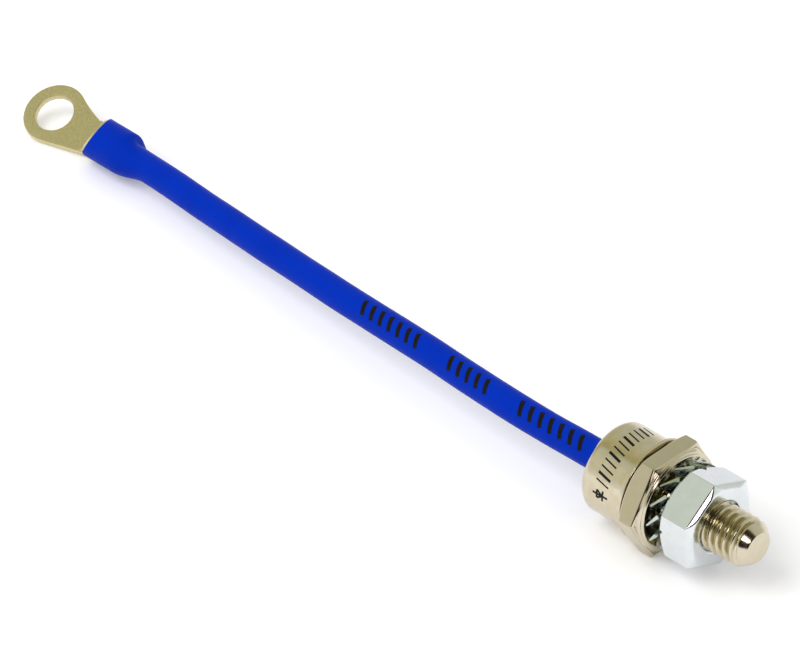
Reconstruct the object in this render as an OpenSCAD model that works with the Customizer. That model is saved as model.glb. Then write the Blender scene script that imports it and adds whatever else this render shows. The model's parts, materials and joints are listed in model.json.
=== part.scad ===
// Stud rectifier diode with an insulated flexible lead and a ring terminal.
// The origin is the centre of the seating face, on the stud's axis. +X runs to the stud's tip, the lead
// leaves along -X, and the part lies on a flat of its hexagon, with +Z up. Sizes are in millimetres.

/* [Base and stud] */
// Width of the base's hexagon across its flats
hex_af = 17; // [16.5:0.5:20]
// Height of the hexagon, from its back to the seating face
hex_h = 4.5; // [3.5:0.1:7]
// How far the seating face stays inside the flats
seat_inset = 0.4; // [0.2:0.1:1]
// Height of the raised seating face
seat_step = 0.2; // [0.1:0.05:0.5]
// How far the hexagon's turned chamfers start inside its flats
hex_inset = 0.15; // [0.05:0.05:0.3]
// Outer diameter of the stud's thread
stud_d = 8; // [6:0.5:9]
// Length of the stud from the seating face
stud_len = 16.1; // [12:0.1:24]
// Length of the stud's rounded tip
tip_len = 2.2; // [1:0.1:3]
// Radius of the flat at the stud's tip
tip_r = 2.3; // [1.5:0.1:2.8]
// Height of the pedestal under the die stack
pedestal_h = 0.8; // [0.4:0.1:1.2]
// Rim of the pedestal around the lower disc
pedestal_rim = 0.6; // [0.3:0.1:1]

/* [Case] */
// Outer diameter of the case
case_d = 15.1; // [13.5:0.1:15.5]
// Height of the case over the base
case_h = 9.2; // [8.8:0.1:10.5]
// Wall of the case
case_wall = 0.6; // [0.4:0.05:0.9]
// Radius of the case's back edge
case_round = 1.2; // [1:0.1:1.6]
// Width of the weld flange outside the case
flange_w = 0.9; // [0.4:0.05:0.9]
// Thickness of the weld flange
flange_t = 0.7; // [0.3:0.05:0.9]

/* [Seal] */
// Diameter of the glass seal
seal_d = 9.6; // [8:0.2:10.4]
// Thickness of the glass seal
seal_t = 2.2; // [1.6:0.1:2.8]
// How far the glass lies below the case's back
seal_recess = 0.3; // [0.1:0.1:0.6]
// Wall of the lead tube
tube_wall = 0.3; // [0.2:0.05:0.5]
// How far the lead tube reaches past the glass into the case
tube_in = 0.3; // [0.1:0.1:0.6]
// How far inside the glass's back the two leads meet in the tube
butt_depth = 0.4; // [0.3:0.1:1]
// How far the lead tube stands out of the case
tube_out = 2; // [1.5:0.1:3]

/* [Die stack] */
// Diameter of the silicon die
die_d = 8.4; // [7:0.2:9]
// Thickness of the die
die_t = 0.4; // [0.3:0.05:0.6]
// How far the coating stays below the upper disc's top
coating_low = 0.3; // [0.1:0.1:0.4]
// Rim of the die outside the upper disc
die_margin = 0.7; // [0.4:0.1:1]
// Rim of the lower disc outside the die
disc_rim = 0.4; // [0.2:0.1:0.6]
// Thickness of the lower disc
lower_disc_t = 1; // [0.6:0.1:1.2]
// Thickness of the upper disc
upper_disc_t = 0.8; // [0.5:0.1:1]
// Diameter of the flexible inner lead
inner_lead_d = 3.6; // [3:0.1:4]
// Wall of the contact cup around the inner lead
cup_wall = 0.8; // [0.5:0.1:1]
// Floor of the contact cup
cup_floor = 0.6; // [0.4:0.1:0.8]
// Depth of the contact cup
cup_depth = 1.5; // [1:0.1:1.7]

/* [Lead] */
// Diameter of the stranded conductor
conductor_d = 4; // [3.8:0.1:4.4]
// Wall of the insulating sleeve
sleeve_wall = 0.4; // [0.3:0.05:0.5]

/* [Ring terminal] */
// Diameter of the terminal's hole
hole_d = 6.6; // [5.3:0.1:7]
// Outer diameter of the ring
ring_d = 10.9; // [10:0.1:13]
// Thickness of the strip
strip_t = 1.1; // [0.8:0.1:1.2]
// Length of the barrel
barrel_len = 8; // [7:0.5:9]
// Distance from the barrel to the centre of the hole
tongue_len = 10.7; // [9.5:0.1:14]
// Width of the tongue at the barrel
neck_w = 5.4; // [4.6:0.1:6.4]
// Slope of the tongue, towards the barrel's axis
tongue_bend = 6; // [0:1:12]
// Slant of the barrel's upper edge
barrel_slant = 33; // [10:1:45]
// Turn of the terminal about the lead
terminal_turn = 27; // [0:1:45]

/* [Lock washer] */
// Diameter over the teeth
washer_d = 15; // [14:0.5:16]
// Thickness of the washer's strip
washer_t = 0.8; // [0.5:0.1:1]
// Width of the flat ring inside the teeth
washer_rim = 1.3; // [0.8:0.1:1.5]
// Number of teeth
tooth_count = 14; // [10:1:16]
// Width of a tooth at its tip
tooth_tip_w = 3.2; // [2:0.1:3.2]
// Width of a tooth at its root
tooth_root_w = 1.7; // [1.2:0.1:2]
// Twist of a tooth, from the ring to the tip
tooth_twist = 34; // [15:1:40]

/* [Nut] */
// Width of the nut across its flats
nut_af = 14; // [13:0.5:16]
// Thickness of the nut
nut_h = 6.4; // [4:0.2:7]
// How far the nut's turned chamfers start inside its flats
nut_inset = 0.4; // [0.1:0.05:0.6]
// Countersink of the nut's bore
nut_sink = 0.4; // [0.2:0.1:0.6]
// Turn of the nut on the stud
nut_turn = 7; // [0:1:59]

/* [Hidden] */

// Round surfaces, shares of the tip's rounding and the clearances between pieces
$fn = 96;
fit_gap = 0.05;
crimp_gap = 0.1;
washer_gap = 0.2;
tooth_sink = 0.4;
chamfer_angle = 30;
cup_gap = 0.5;
tip_knee = 0.5;
tip_knee_in = 0.35;
butt_gap = 0.3;
sleeve_gap = 0.4;
corner_over = 0.2;
cut_over = 1;

// Places along the axis, from the base's back to the case's back and the lead
base_back = -hex_h;
pedestal_top = base_back - pedestal_h;
lower_disc_top = pedestal_top - lower_disc_t;
die_top = lower_disc_top - die_t;
upper_disc_top = die_top - upper_disc_t;
cup_seat = upper_disc_top - cup_floor;
cup_top = cup_seat - cup_depth;
case_back = base_back - case_h;
seal_back = case_back + seal_recess;
seal_front = seal_back + seal_t;
tube_front = min(cup_top - cup_gap, seal_front + tube_in);
tube_back = case_back - tube_out;
inner_lead_back = seal_back + butt_depth;
lead_front = inner_lead_back - butt_gap;

// Radii that follow from the sizes above
case_r = case_d / 2;
flange_r = case_r + flange_w;
seal_r = seal_d / 2;
conductor_r = conductor_d / 2;
tube_bore_r = conductor_r + crimp_gap;
tube_r = tube_bore_r + tube_wall;
barrel_bore_r = conductor_r + crimp_gap;
barrel_r = barrel_bore_r + strip_t;
upper_disc_r = die_d / 2 - die_margin;
lower_disc_r = die_d / 2 + disc_rim;

// The washer stands on its tooth tips, and the nut seats where its face meets the twisted teeth
washer_bore_r = stud_d / 2 + washer_gap;
washer_rim_r = washer_bore_r + washer_rim;
tooth_tip_r = washer_d / 2;
tooth_root_r = washer_rim_r - tooth_sink;
washer_mid = fit_gap + tooth_rise(1);
nut_face_r = nut_af / 2 - nut_inset;
nut_seat_share = min(1, (nut_face_r - tooth_root_r) / (tooth_tip_r - tooth_root_r));
nut_seat = washer_mid + tooth_rise(nut_seat_share) + fit_gap;

// A tooth's width, and half its height along the stud, from its root at 0 to its tip at 1
function tooth_w(s) = tooth_root_w + (tooth_tip_w - tooth_root_w) * s;

function tooth_rise(s) = (tooth_w(s) * sin(tooth_twist * s) + washer_t * cos(tooth_twist * s)) / 2;

// The lead's route, from behind the case to the front of the terminal's barrel
lead_route = [[-20, 0, 0], [-26, 0, -0.1], [-33, 0.2, -0.2], [-40, 0.7, -0.4], [-47, 1.3, -0.6],
              [-54, 2, -0.8], [-61, 2.6, -1.1], [-68, 3.2, -1.4], [-75, 3.8, -1.7], [-82, 4.5, -2],
              [-89, 5.2, -2.3], [-96, 5.9, -2.6], [-103, 6.7, -2.9], [-110, 7.5, -3.2], [-117, 8.3, -3.4],
              [-122, 8.8, -3.6], [-126, 9.2, -3.8], [-130, 9.5, -3.9], [-138.5, 9.8, -4]];
cord_sides = 12;
sleeve_start = case_back - sleeve_gap;
swell_taper = 1.4;
rim_back = 0.3;
strand_back = 0.5;
neck_gap = 0.1;
root_len = 1.2;
route_end = lead_route[len(lead_route) - 1];
barrel_dir = unit(route_end - lead_route[len(lead_route) - 2]);
barrel_back = route_end - barrel_len * barrel_dir;
barrel_yaw = atan2(barrel_dir[1], barrel_dir[0]);
barrel_rise = asin(barrel_dir[2]);

// The sleeve's inner radii: over the tube, along the conductor and over the barrel
corner_gain = 1 / cos(180 / cord_sides);
sleeve_tube_r = (tube_r + fit_gap) * corner_gain;
sleeve_lead_r = conductor_r + fit_gap;
sleeve_barrel_r = (barrel_r + fit_gap) * corner_gain;

function unit(v) = v / norm(v);

function heading(path, i) = unit(path[min(i + 1, len(path) - 1)] - path[max(i - 1, 0)]);

// One ring of points around a path; a leaning ring is cut back on the side that the ring's face turns to
function ring(path, i, r, lean = 0) =
    let (t = heading(path, i), side = unit(cross([0, 0, 1], t)), up = cross(t, side))
    [for (k = [0 : cord_sides - 1])
        let (a = 360 * k / cord_sides, across = cos(a) * side + sin(a) * up)
        path[i] + r * across - lean * r * max(0, sin(a + terminal_turn)) * t];

function flat(lists) = [for (l = lists) for (p = l) p];

// Triangles between rings that follow each other, and back to the first where the skin closes on itself
function skin(count, closed) =
    [for (i = [0 : count - (closed ? 1 : 2)]) for (k = [0 : cord_sides - 1])
        let (next = (k + 1) % cord_sides, a = i * cord_sides, b = ((i + 1) % count) * cord_sides)
        each [[a + k, b + next, a + next], [a + k, b + k, b + next]]];

module rod(path, r) {
    rings = [for (i = [0 : len(path) - 1]) ring(path, i, r)];
    last = (len(path) - 1) * cord_sides;
    ends = [[for (k = [0 : cord_sides - 1]) k],
            [for (k = [0 : cord_sides - 1]) last + cord_sides - 1 - k]];
    polyhedron(flat(rings), concat(skin(len(rings), false), ends));
}

// A hollow tube whose bore changes along its path; its last ring leans
module hose(path, bores, wall, lean) {
    last = len(path) - 1;
    outside = [for (i = [0 : last]) ring(path, i, bores[i] + wall, i == last ? lean : 0)];
    inside = [for (i = [last : -1 : 0]) ring(path, i, bores[i], i == last ? lean : 0)];
    polyhedron(flat(concat(outside, inside)), skin(2 * len(path), true));
}

// A shape turned about the stud's axis, from a profile of radius and place along X
module turned() {
    rotate([0, 90, 0]) rotate_extrude() children();
}

// A profile's rectangle between two radii and two places along X
module band(r0, r1, x0, x1) {
    translate([r0, min(x0, x1)]) square([r1 - r0, abs(x1 - x0)]);
}

// A hexagonal bar along X, with a corner at the top
module hex_bar(af, x0, x1) {
    translate([x0, 0, 0]) rotate([0, 90, 0]) cylinder(r = af / 2 / cos(30), h = x1 - x0, $fn = 6);
}

// The cone-ended round bar that a hexagon's turned chamfers are cut by
module chamfer_bar(af, inset, x0, x1) {
    corner_r = af / 2 / cos(30) + corner_over;
    face_r = af / 2 - inset;
    depth = (corner_r - face_r) * tan(chamfer_angle);
    turned() polygon([[0, x0], [face_r, x0], [corner_r, x0 + depth], [corner_r, x1 - depth],
                      [face_r, x1], [0, x1]]);
}

module base_stud() {
    stud_r = stud_d / 2;
    pedestal_r = lower_disc_r + pedestal_rim;
    heart = -hex_h / 2;
    color("#cbbd93") {
        intersection() {
            rotate([30, 0, 0]) hex_bar(hex_af, base_back, -seat_step);
            chamfer_bar(hex_af, hex_inset, base_back, -seat_step);
        }
        turned() {
            band(0, pedestal_r, pedestal_top, heart);
            band(0, hex_af / 2 - seat_inset, heart, 0);
            polygon([[0, heart], [stud_r, heart], [stud_r, stud_len - tip_len],
                     [stud_r - tip_knee_in * (stud_r - tip_r), stud_len - tip_knee * tip_len],
                     [tip_r, stud_len], [0, stud_len]]);
        }
    }
}

// A profile with a rounded back corner
module round_backed(r, x0, x1, corner) {
    band(0, r, x0 + corner, x1);
    band(0, r - corner, x0, x1);
    translate([r - corner, x0 + corner]) circle(corner);
}

module case_cap() {
    inner_round = case_round - case_wall;
    collar_r = seal_r + fit_gap + case_wall;
    color("#d6cdb4") turned() difference() {
        union() {
            difference() {
                union() {
                    round_backed(case_r, case_back, base_back, case_round);
                    band(0, flange_r, base_back - flange_t, base_back);
                }
                round_backed(case_r - case_wall, case_back + case_wall, base_back + cut_over, inner_round);
            }
            band(0, collar_r, case_back, seal_front);
        }
        band(0, seal_r + fit_gap, case_back - cut_over, base_back);
    }
}

module glass_seal() {
    color("#4c5a58") turned() band(tube_r + fit_gap, seal_r, seal_back, seal_front);
}

module lead_tube() {
    color("#b9b3a2") turned() band(tube_bore_r, tube_r, tube_back, tube_front);
}

module lower_disc() {
    color("#8d8f92") turned() band(0, lower_disc_r, lower_disc_top, pedestal_top);
}

module silicon_die() {
    color("#45484f") turned() band(0, die_d / 2, die_top, lower_disc_top);
}

module upper_disc() {
    color("#8d8f92") turned() band(0, upper_disc_r, upper_disc_top, die_top);
}

// Silicone ring that stands on the lower disc's rim and covers the die's edge
module junction_coating() {
    crown = upper_disc_t - coating_low;
    die_r = die_d / 2 + fit_gap;
    bore_r = upper_disc_r + fit_gap;
    color("#c4563a") turned() polygon([[die_r, lower_disc_top], [lower_disc_r, lower_disc_top],
                                       [bore_r + die_margin / 2, die_top - crown], [bore_r, die_top - crown],
                                       [bore_r, die_top], [die_r, die_top]]);
}

module contact_cup() {
    bore_r = inner_lead_d / 2 + fit_gap;
    color("#b87347") turned() difference() {
        band(0, bore_r + cup_wall, cup_top, upper_disc_top);
        band(0, bore_r, cup_top - cut_over, cup_seat);
    }
}

module inner_lead() {
    color("#b46a3e") turned() band(0, inner_lead_d / 2, inner_lead_back, cup_seat);
}

module lead_conductor() {
    path = concat([[lead_front, 0, 0]], [for (p = lead_route) if (p != route_end) p],
                  [route_end - strand_back * barrel_dir]);
    color("#b46a3e") rod(path, conductor_r);
}

module insulating_sleeve() {
    middle = [for (p = lead_route) if (p != route_end && p[0] > barrel_back[0] + swell_taper) p];
    path = concat([[sleeve_start, 0, 0], [tube_back - fit_gap, 0, 0], [tube_back - swell_taper, 0, 0]],
                  middle, [barrel_back - swell_taper * barrel_dir, barrel_back - fit_gap * barrel_dir,
                           route_end - rim_back * barrel_dir]);
    bores = concat([sleeve_tube_r, sleeve_tube_r], [for (i = [0 : len(middle) + 1]) sleeve_lead_r],
                   [sleeve_barrel_r, sleeve_barrel_r]);
    color("#0b33b8") hose(path, bores, sleeve_wall, tan(barrel_slant));
}

// The terminal's own frame: X along the barrel towards the ring, Z out of the ring's upper face
module at_barrel() {
    translate(route_end) rotate([0, -barrel_rise, barrel_yaw]) rotate([-terminal_turn, 0, 0]) children();
}

// The tongue's outline: straight sides from the barrel that run into the ring as tangents
module tongue_outline() {
    ring_r = ring_d / 2;
    reach = norm([tongue_len, neck_w / 2]);
    side_angle = acos(ring_r / reach) + atan2(neck_w / 2, tongue_len);
    touch = [tongue_len - ring_r * cos(side_angle), ring_r * sin(side_angle)];
    polygon([[neck_gap, -neck_w / 2], [touch[0], -touch[1]], [tongue_len, 0], touch, [neck_gap, neck_w / 2]]);
    translate([tongue_len, 0]) circle(ring_r);
}

// A round bar along X
module bar(r, x0, x1) {
    translate([x0, 0, 0]) rotate([0, 90, 0]) cylinder(r = r, h = x1 - x0);
}

// The barrel with its slanted mouth, the root that its lower wall runs out in, and the flat tongue
module ring_terminal() {
    color("#aba06a") at_barrel() {
        difference() {
            bar(barrel_r, -barrel_len, 0);
            bar(barrel_bore_r, -barrel_len - cut_over, cut_over);
            rotate([0, -barrel_slant, 0]) translate([0, -2 * barrel_r, 0])
                cube([barrel_len, 4 * barrel_r, 2 * barrel_r]);
        }
        intersection() {
            bar(barrel_r, -root_len / 2, root_len / 2);
            translate([-root_len, -barrel_r, -barrel_r]) cube([2 * root_len, 2 * barrel_r, strip_t]);
        }
        translate([0, 0, -barrel_r]) rotate([0, -tongue_bend, 0]) difference() {
            linear_extrude(strip_t) tongue_outline();
            translate([tongue_len, 0, -cut_over]) cylinder(d = hole_d, h = strip_t + 2 * cut_over);
        }
    }
}

// One tooth of the washer: a blade that grows out of the ring and twists as it widens to its tip
module tooth() {
    steps = 4;
    function section(s) =
        let (twist = tooth_twist * s, half = tooth_w(s) / 2,
             r = tooth_root_r + (tooth_tip_r - tooth_root_r) * s)
        [for (c = [[-1, -1], [1, -1], [1, 1], [-1, 1]])
            let (w = c[0] * half, t = c[1] * washer_t / 2)
            [t * cos(twist) + w * sin(twist), w * cos(twist) - t * sin(twist), r]];
    points = flat([for (i = [0 : steps]) section(i / steps)]);
    sides = [for (i = [0 : steps - 1]) for (k = [0 : 3])
        let (a = 4 * i + k, b = 4 * i + (k + 1) % 4) each [[a, b, b + 4], [a, b + 4, a + 4]]];
    polyhedron(points, concat(sides, [[3, 2, 1, 0], [for (k = [0 : 3]) 4 * steps + k]]));
}

module lock_washer() {
    first_tooth = 4;
    color("#98a39c") translate([washer_mid, 0, 0]) {
        turned() band(washer_bore_r, washer_rim_r, -washer_t / 2, washer_t / 2);
        for (i = [0 : tooth_count - 1])
            rotate([first_tooth + 360 * i / tooth_count, 0, 0]) tooth();
    }
}

module hex_nut() {
    bore_r = stud_d / 2 + fit_gap;
    mouth_r = bore_r + nut_sink + cut_over;
    color("#cdd6da") translate([nut_seat, 0, 0]) difference() {
        intersection() {
            rotate([nut_turn, 0, 0]) hex_bar(nut_af, 0, nut_h);
            chamfer_bar(nut_af, nut_inset, 0, nut_h);
        }
        turned() polygon([[0, -cut_over], [mouth_r, -cut_over], [bore_r, nut_sink],
                          [bore_r, nut_h - nut_sink], [mouth_r, nut_h + cut_over], [0, nut_h + cut_over]]);
    }
}

base_stud();
case_cap();
glass_seal();
lead_tube();
lower_disc();
silicon_die();
upper_disc();
junction_coating();
contact_cup();
inner_lead();
lead_conductor();
insulating_sleeve();
ring_terminal();
lock_washer();
hex_nut();
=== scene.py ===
"""Looks of a stud rectifier diode with a sleeved lead, laid out as an add-on and run as a script."""

import json
import math

import bmesh
import bpy
from bpy.props import FloatProperty, FloatVectorProperty, IntProperty, PointerProperty
from mathutils import Matrix, Vector, noise


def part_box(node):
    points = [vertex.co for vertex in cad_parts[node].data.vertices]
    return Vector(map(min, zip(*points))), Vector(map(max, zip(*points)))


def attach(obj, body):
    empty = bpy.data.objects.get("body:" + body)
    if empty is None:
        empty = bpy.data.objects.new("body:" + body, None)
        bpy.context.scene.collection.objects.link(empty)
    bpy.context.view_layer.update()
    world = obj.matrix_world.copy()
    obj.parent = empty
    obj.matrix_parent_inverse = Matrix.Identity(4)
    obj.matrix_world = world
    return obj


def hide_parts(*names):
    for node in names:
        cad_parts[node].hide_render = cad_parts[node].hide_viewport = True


bl_info = {
    "name": "Stud Diode",
    "version": (1, 0, 0),
    "blender": (4, 5, 0),
    "location": "View3D > Sidebar > Stud Diode",
    "description": "Builds the visible pieces, finishes and stage of a stud diode around its solids",
    "category": "Object",
}

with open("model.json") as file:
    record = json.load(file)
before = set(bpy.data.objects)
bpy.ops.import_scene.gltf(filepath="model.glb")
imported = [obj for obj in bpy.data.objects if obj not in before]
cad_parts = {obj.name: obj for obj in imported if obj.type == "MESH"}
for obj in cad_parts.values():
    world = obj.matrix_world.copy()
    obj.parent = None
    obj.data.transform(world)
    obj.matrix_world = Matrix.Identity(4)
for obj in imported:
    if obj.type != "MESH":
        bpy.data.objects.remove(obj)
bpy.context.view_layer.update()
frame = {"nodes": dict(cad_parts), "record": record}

MM = 0.001
BODY = "root"

# Places that the solids give, in metres
BASE_LOW, BASE_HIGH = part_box("base_stud")
CASE_LOW, CASE_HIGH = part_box("case_cap")
NUT_LOW, NUT_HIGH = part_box("hex_nut")
WASHER_LOW, WASHER_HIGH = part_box("lock_washer")
SEAL_LOW, SEAL_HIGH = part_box("glass_seal")
TUBE_LOW, TUBE_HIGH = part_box("lead_tube")
CONDUCTOR_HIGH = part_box("lead_conductor")[1]
MOUNTS = {mount["name"]: mount for mount in frame["record"]["mounts"]}
HOLE = MOUNTS["terminal_hole"]
STUD_R = MOUNTS["stud"]["dims"]["r_mm"] * MM

# The lead's route, from behind the case to the front of the terminal's barrel, in metres
ROUTE = [Vector(p) * MM for p in (
    (-20, 0, 0), (-26, 0, -0.1), (-33, 0.2, -0.2), (-40, 0.7, -0.4), (-47, 1.3, -0.6),
    (-54, 2, -0.8), (-61, 2.6, -1.1), (-68, 3.2, -1.4), (-75, 3.8, -1.7), (-82, 4.5, -2),
    (-89, 5.2, -2.3), (-96, 5.9, -2.6), (-103, 6.7, -2.9), (-110, 7.5, -3.2), (-117, 8.3, -3.4),
    (-122, 8.8, -3.6), (-126, 9.2, -3.8), (-130, 9.5, -3.9), (-138.5, 9.8, -4),
)]
BARREL_DIR = (ROUTE[-1] - ROUTE[-2]).normalized()


# Sizes and colours that a user may change


def linear(code):
    """An sRGB hex colour as linear red, green, blue and alpha."""
    parts = [int(code[i:i + 2], 16) / 255 for i in (1, 3, 5)]
    return (*(p / 12.92 if p <= 0.04045 else ((p + 0.055) / 1.055) ** 2.4 for p in parts), 1.0)


LENGTH = {"precision": 5, "unit": "LENGTH"}
ANGLE = {"subtype": "ANGLE"}
COLOUR = {"size": 4, "min": 0, "max": 1, "subtype": "COLOR"}


class StudDiodeSizes(bpy.types.PropertyGroup):
    """Sizes of the visible detail."""

    thread_pitch: FloatProperty(
        name="Thread pitch", description="Distance between the stud's thread turns",
        default=1.4 * MM, min=0.5 * MM, max=2 * MM, **LENGTH)
    thread_depth: FloatProperty(
        name="Thread depth", description="Height of the thread from root to crest",
        default=0.78 * MM, min=0.2 * MM, max=1 * MM, **LENGTH)
    thread_turn: FloatProperty(
        name="Thread turn", description="Where the thread starts around the stud",
        default=math.radians(123), **ANGLE)
    tip_length: FloatProperty(
        name="Tip length", description="Length of the stud's rounded tip", default=2.0 * MM, **LENGTH)
    tip_radius: FloatProperty(
        name="Tip flat", description="Radius of the flat at the stud's tip", default=2.6 * MM, **LENGTH)
    edge_round: FloatProperty(
        name="Edge rounding", description="Rounding that plating leaves on machined edges",
        default=0.1 * MM, **LENGTH)
    corner_round: FloatProperty(
        name="Corner rounding", description="Radius of the hexagons' long corners",
        default=0.25 * MM, **LENGTH)
    nut_flats: FloatProperty(
        name="Nut width", description="Width of the nut across its flats", default=14 * MM, **LENGTH)
    nut_turn: FloatProperty(
        name="Nut turn", description="Turn of the nut on the stud", default=math.radians(7), **ANGLE)
    tooth_count: IntProperty(
        name="Teeth", description="Number of teeth on the lock washer", default=14, min=6, max=24)
    tooth_twist: FloatProperty(
        name="Tooth twist", description="Twist of a tooth from the ring to its tip",
        default=math.radians(34), **ANGLE)
    sleeve_near: FloatProperty(
        name="Sleeve at the case", description="Outer diameter of the sleeve beside the case",
        default=5.1 * MM, **LENGTH)
    sleeve_far: FloatProperty(
        name="Sleeve at the terminal", description="Outer diameter of the sleeve before it swells",
        default=4.84 * MM, **LENGTH)
    sleeve_swell: FloatProperty(
        name="Swollen sleeve", description="Outer diameter of the sleeve over the barrel",
        default=7.44 * MM, **LENGTH)
    strand_rings: IntProperty(
        name="Strand rings", description="Rings of strands around the conductor's middle strand",
        default=4, min=1, max=6)


class StudDiodeColours(bpy.types.PropertyGroup):
    """Colours of the finishes."""

    nickel: FloatVectorProperty(
        name="Nickel", description="Nickel plating of the base and the case",
        default=linear("#DFD6C3"), **COLOUR)
    zinc: FloatVectorProperty(
        name="Zinc", description="Bright zinc plating of the nut", default=linear("#ECF0F3"), **COLOUR)
    spring_zinc: FloatVectorProperty(
        name="Washer zinc", description="Zinc plating of the spring steel washer",
        default=linear("#D2DAD4"), **COLOUR)
    sleeve: FloatVectorProperty(
        name="Sleeve", description="Heat-shrink polyolefin of the lead",
        default=linear("#002EAF"), **COLOUR)
    tin: FloatVectorProperty(
        name="Tin", description="Matte plating of the ring terminal", default=linear("#E8E0B6"), **COLOUR)
    copper: FloatVectorProperty(
        name="Copper", description="Bare copper of strands and cup", default=linear("#C98258"), **COLOUR)
    ink: FloatVectorProperty(
        name="Ink", description="Printed marks", default=linear("#0A0908"), **COLOUR)


def sizes():
    return bpy.context.scene.stud_diode_sizes


def colours():
    return bpy.context.scene.stud_diode_colours


# Node building


def result(node):
    """The first output that a node has in use."""
    return next(output for output in node.outputs if output.enabled)


def add(tree, kind, values=None, to=None, **settings):
    """Adds a node with its settings, sets or links its inputs, and links its result to a socket.

    A node among the values stands for its result, and a list holds all that one input takes.
    """
    node = tree.nodes.new(kind)
    for name, value in settings.items():
        setattr(node, name, value)
    for socket, value in (values or {}).items():
        for item in value if isinstance(value, list) else [value]:
            if isinstance(item, bpy.types.Node):
                item = result(item)
            if isinstance(item, bpy.types.NodeSocket):
                tree.links.new(item, node.inputs[socket])
            else:
                node.inputs[socket].default_value = item
    if to:
        tree.links.new(result(node), to)
    return node


def per_mm(size):
    """Texture scale that makes a pattern's features about this many millimetres wide."""
    return 1 / (size * MM)


def mottle(tree, place, size, low, high, detail=3.0, to=None):
    """A soft noise of that feature size in millimetres, spread from low to high."""
    spots = add(tree, "ShaderNodeTexNoise", {"Vector": place, "Scale": per_mm(size), "Detail": detail})
    return add(tree, "ShaderNodeMapRange", {
        "Value": spots, "From Min": 0.3, "From Max": 0.7, "To Min": low, "To Max": high}, to=to)


def lathe_place(tree, place):
    """Coordinates of place along the axis and distance from it, in which turning marks are straight."""
    axes = add(tree, "ShaderNodeSeparateXYZ", {"Vector": place}).outputs
    across = add(tree, "ShaderNodeCombineXYZ", {"Y": axes["Y"], "Z": axes["Z"]})
    radius = add(tree, "ShaderNodeVectorMath", {0: across}, operation="LENGTH")
    return add(tree, "ShaderNodeCombineXYZ", {"X": axes["X"], "Y": radius})


def new_tree(name, inputs):
    """An empty geometry tree with inputs of those kinds, as the tree and what its inputs give."""
    tree = bpy.data.node_groups.new(name, "GeometryNodeTree")
    for socket, kind in inputs.items():
        tree.interface.new_socket(socket, in_out="INPUT", socket_type="NodeSocket" + kind)
    tree.interface.new_socket("Piece", in_out="OUTPUT", socket_type="NodeSocketGeometry")
    return tree, add(tree, "NodeGroupInput").outputs


def close_tree(tree, shape, material):
    """Ends a geometry tree: its instances become real and take the material."""
    real = add(tree, "GeometryNodeRealizeInstances", {"Geometry": shape})
    painted = add(tree, "GeometryNodeSetMaterial", {"Geometry": real, "Material": material})
    add(tree, "NodeGroupOutput", {"Piece": painted})
    return tree


# Materials

METAL = {"Metallic": 1.0}


def new_material(name, constants):
    """A material with a Principled shader, as (material, tree, shader's sockets, object coordinates)."""
    material = bpy.data.materials.new(name)
    material.use_nodes = True
    tree = material.node_tree
    tree.nodes.clear()
    shader = add(tree, "ShaderNodeBsdfPrincipled", constants)
    add(tree, "ShaderNodeOutputMaterial", {"Surface": shader})
    place = add(tree, "ShaderNodeTexCoord").outputs["Object"]
    return material, tree, shader.inputs, place


def clouded(name, constants, tint, rough, grain=None):
    """A material whose colour drifts to a shade in clouds and whose roughness wanders.

    tint is the colour, the shade and the clouds, rough is the roughness's clouds, both as mottle takes
    them. grain is a bump's feature size in millimetres, detail, strength and depth in millimetres.
    Gives what new_material gives, and the colour's node.
    """
    material, tree, shader, place = new_material(name, constants)
    colour, shade, *clouds = tint
    tinted = add(tree, "ShaderNodeMix", {
        "Factor": mottle(tree, place, *clouds), "A": colour, "B": linear(shade)},
        to=shader["Base Color"], data_type="RGBA")
    mottle(tree, place, *rough, to=shader["Roughness"])
    if grain:
        size, detail, strength, depth = grain
        relief = add(tree, "ShaderNodeTexNoise", {"Vector": place, "Scale": per_mm(size), "Detail": detail})
        add(tree, "ShaderNodeBump", {"Height": relief, "Strength": strength, "Distance": depth * MM},
            to=shader["Normal"])
    return material, tree, shader, place, tinted


def nickel_plating(name, marks, roughness, shade):
    """Nickel plating over turned or drawn metal: a warm half-bright mirror that fine turning marks blur."""
    material, tree, shader, place, plated = clouded(
        name, METAL, (colours().nickel, shade, 1.3, 0.2, 0.6), (0.9, roughness - 0.04, roughness + 0.06))
    # Painted shade darkens the thread roots by their depth, and the hexagon is tinted darker evenly; both
    # come from an attribute on the mesh
    dull = add(tree, "ShaderNodeAttribute", attribute_name="dull").outputs["Fac"]
    add(tree, "ShaderNodeMix", {"Factor": dull, "A": plated, "B": linear("#A0956A")},
        to=shader["Base Color"], data_type="RGBA")
    # Turning marks are about 0.05 mm apart and drawn as coarse as they need to show
    lines = add(tree, "ShaderNodeTexNoise", {
        "Vector": lathe_place(tree, place), "Scale": per_mm(marks), "Detail": 2.0}, noise_dimensions="2D")
    add(tree, "ShaderNodeBump", {"Height": lines, "Strength": 0.12, "Distance": 0.02 * MM},
        to=shader["Normal"])
    return material


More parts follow.
